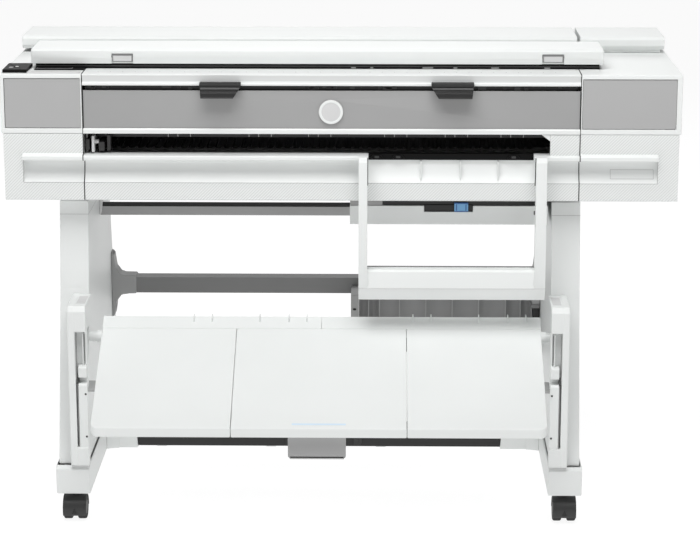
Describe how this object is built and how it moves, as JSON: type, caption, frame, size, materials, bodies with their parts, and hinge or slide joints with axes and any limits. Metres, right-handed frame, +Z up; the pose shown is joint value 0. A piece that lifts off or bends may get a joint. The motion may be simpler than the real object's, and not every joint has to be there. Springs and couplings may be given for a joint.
{
  "type": "large format plotter",
  "caption": "Wide roll and sheet inkjet plotter with a top scanner, sheet tray, folding output tray and castered stand.",
  "frame": {"origin": "centre of the machine's outline on the floor", "axes": "+X to the right of someone facing the machine, -Y towards that person, +Z up"},
  "size_m": [1.396, 0.803, 0.978],
  "materials": {
    "shell_white": "fine satin moulded shell",
    "panel_grey": "satin grey moulding",
    "tray_white": "fine dotted texture",
    "stand_white": "powder coat",
    "stand_grey": "powder coat",
    "black_plastic": "satin black",
    "chassis_steel": "zinc plated",
    "rubber_black": "matte",
    "latch_blue": "touch point blue",
    "scan_glass": "clear",
    "caster_grey": "satin",
    "caster_tread": "matte tread"
  },
  "bodies": {
    "root": {"left_upper_housing": "shell_white", "right_upper_housing": "shell_white", "left_lower_housing": "shell_white", "right_lower_housing": "shell_white", "front_fascia": "shell_white", "rear_right_housing": "shell_white", "sheet_tray": "shell_white", "left_front_panel": "panel_grey", "centre_front_panel": "panel_grey", "sheet_deflector": "panel_grey", "left_leg": "stand_white", "right_leg": "stand_white", "left_foot": "stand_white", "right_foot": "stand_white", "left_tray_arm": "stand_white", "right_tray_arm": "stand_white", "upper_crossbar": "stand_grey", "rear_crossbar": "stand_grey", "power_supply": "stand_grey", "lower_crossbar": "black_plastic", "platen": "black_plastic", "ink_cartridges": "black_plastic", "chassis": "chassis_steel", "carriage_rail": "chassis_steel", "carriage_belt": "rubber_black"},
    "scanner_unit": {"scan_bed": "shell_white", "scanner_base": "black_plastic", "scan_glass": "scan_glass", "left_pull_handle": "black_plastic", "right_pull_handle": "black_plastic"},
    "scan_lid": {"scan_lid": "shell_white"},
    "left_lid_latch": {"left_lid_latch": "panel_grey"},
    "right_lid_latch": {"right_lid_latch": "panel_grey"},
    "control_panel": {"control_panel": "black_plastic"},
    "power_button": {"power_button": "panel_grey"},
    "ink_door": {"ink_door": "panel_grey"},
    "roll_cover": {"roll_cover": "shell_white"},
    "tray": {"tray_strip_left": "tray_white", "tray_strip_right": "tray_white", "tray_panel_left": "tray_white", "tray_panel_centre": "tray_white", "tray_panel_right": "tray_white", "tray_handle": "panel_grey"},
    "left_tray_lever": {"left_tray_lever": "panel_grey"},
    "right_tray_lever": {"right_tray_lever": "panel_grey"},
    "sheet_frame": {"sheet_frame": "shell_white"},
    "sheet_stop": {"sheet_stop": "latch_blue"},
    "carriage": {"carriage": "black_plastic"},
    "drive_pulley": {"drive_pulley": "chassis_steel"},
    "feed_roller": {"feed_roller": "rubber_black"},
    "exit_roller": {"exit_roller": "rubber_black"},
    "roll_spindle": {"roll_spindle": "black_plastic"},
    "left_front_swivel": {"left_front_caster_fork": "caster_grey"},
    "left_front_wheel": {"left_front_caster_wheels": "caster_tread"},
    "left_rear_swivel": {"left_rear_caster_fork": "caster_grey"},
    "left_rear_wheel": {"left_rear_caster_wheels": "caster_tread"},
    "right_front_swivel": {"right_front_caster_fork": "caster_grey"},
    "right_front_wheel": {"right_front_caster_wheels": "caster_tread"},
    "right_rear_swivel": {"right_rear_caster_fork": "caster_grey"},
    "right_rear_wheel": {"right_rear_caster_wheels": "caster_tread"}
  },
  "joints": [
    {"name": "scanner_lift", "type": "hinge", "parent": "root", "child": "scanner_unit", "pos_m": [0, 0.1465, 0.918], "axis": [-1, 0, 0], "range_deg": [0, 35]},
    {"name": "scan_lid_hinge", "type": "hinge", "parent": "scanner_unit", "child": "scan_lid", "pos_m": [0, 0.049, 0.95], "axis": [-1, 0, 0], "range_deg": [0, 75]},
    {"name": "left_latch_press", "type": "slide", "parent": "scan_lid", "child": "left_lid_latch", "axis": [0, 1, 0], "range_m": [0, 0.003], "stiffness_N_per_m": 250},
    {"name": "right_latch_press", "type": "slide", "parent": "scan_lid", "child": "right_lid_latch", "axis": [0, 1, 0], "range_m": [0, 0.003], "stiffness_N_per_m": 250},
    {"name": "control_panel_tilt", "type": "hinge", "parent": "root", "child": "control_panel", "pos_m": [-0.669, -0.1305, 0.9385], "axis": [1, 0, 0], "range_deg": [0, 60]},
    {"name": "power_button_press", "type": "slide", "parent": "control_panel", "child": "power_button", "axis": [0, 0, -1], "range_m": [0, 0.0015], "stiffness_N_per_m": 400},
    {"name": "ink_door_hinge", "type": "hinge", "parent": "root", "child": "ink_door", "pos_m": [0.5906, -0.1405, 0.827], "axis": [1, 0, 0], "range_deg": [0, 85]},
    {"name": "roll_cover_hinge", "type": "hinge", "parent": "root", "child": "roll_cover", "pos_m": [0, 0.3085, 0.947], "axis": [-1, 0, 0], "range_deg": [0, 80]},
    {"name": "tray_fold", "type": "hinge", "parent": "root", "child": "tray", "pos_m": [-0.0408, -0.166, 0.387], "axis": [1, 0, 0], "range_deg": [0, 50]},
    {"name": "left_lever_turn", "type": "hinge", "parent": "root", "child": "left_tray_lever", "pos_m": [-0.5445, -0.1955, 0.292], "axis": [1, 0, 0], "range_deg": [-20, 20]},
    {"name": "right_lever_turn", "type": "hinge", "parent": "root", "child": "right_tray_lever", "pos_m": [0.4215, -0.1955, 0.292], "axis": [1, 0, 0], "range_deg": [-20, 20]},
    {"name": "sheet_frame_swing", "type": "hinge", "parent": "root", "child": "sheet_frame", "pos_m": [0.23, -0.168, 0.762], "axis": [-1, 0, 0], "range_deg": [0, 80]},
    {"name": "sheet_stop_slide", "type": "slide", "parent": "root", "child": "sheet_stop", "axis": [1, 0, 0], "range_m": [-0.06, 0.008]},
    {"name": "carriage_slide", "type": "slide", "parent": "root", "child": "carriage", "axis": [1, 0, 0], "range_m": [0, 0.95]},
    {"name": "drive_pulley_spin", "type": "hinge", "parent": "root", "child": "drive_pulley", "pos_m": [-0.66, 0.0465, 0.886], "axis": [0, 0, 1], "continuous": true},
    {"name": "feed_roller_spin", "type": "hinge", "parent": "root", "child": "feed_roller", "pos_m": [0, 0.0715, 0.758], "axis": [1, 0, 0], "continuous": true},
    {"name": "exit_roller_spin", "type": "hinge", "parent": "root", "child": "exit_roller", "pos_m": [0, -0.0985, 0.758], "axis": [1, 0, 0], "continuous": true},
    {"name": "roll_spindle_spin", "type": "hinge", "parent": "root", "child": "roll_spindle", "pos_m": [0, 0.2315, 0.83], "axis": [1, 0, 0], "continuous": true},
    {"name": "left_front_swivel_turn", "type": "hinge", "parent": "root", "child": "left_front_swivel", "pos_m": [-0.559, -0.1935, 0.0507], "axis": [0, 0, 1], "continuous": true},
    {"name": "left_front_wheel_roll", "type": "hinge", "parent": "left_front_swivel", "child": "left_front_wheel", "pos_m": [-0.559, -0.2055, 0.025], "axis": [1, 0, 0], "continuous": true},
    {"name": "left_rear_swivel_turn", "type": "hinge", "parent": "root", "child": "left_rear_swivel", "pos_m": [-0.559, 0.3545, 0.0507], "axis": [0, 0, 1], "continuous": true},
    {"name": "left_rear_wheel_roll", "type": "hinge", "parent": "left_rear_swivel", "child": "left_rear_wheel", "pos_m": [-0.559, 0.3665, 0.025], "axis": [1, 0, 0], "continuous": true},
    {"name": "right_front_swivel_turn", "type": "hinge", "parent": "root", "child": "right_front_swivel", "pos_m": [0.4698, -0.1935, 0.0507], "axis": [0, 0, 1], "continuous": true},
    {"name": "right_front_wheel_roll", "type": "hinge", "parent": "right_front_swivel", "child": "right_front_wheel", "pos_m": [0.4698, -0.2055, 0.025], "axis": [1, 0, 0], "continuous": true},
    {"name": "right_rear_swivel_turn", "type": "hinge", "parent": "root", "child": "right_rear_swivel", "pos_m": [0.4698, 0.3545, 0.0507], "axis": [0, 0, 1], "continuous": true},
    {"name": "right_rear_wheel_roll", "type": "hinge", "parent": "right_rear_swivel", "child": "right_rear_wheel", "pos_m": [0.4698, 0.3665, 0.025], "axis": [1, 0, 0], "continuous": true}
  ],
  "couplings": [
    {"joint": "drive_pulley_spin", "follows": "carriage_slide", "rad_per_m": 90.909},
    {"joint": "exit_roller_spin", "follows": "feed_roller_spin", "ratio": 1.375}
  ]
}
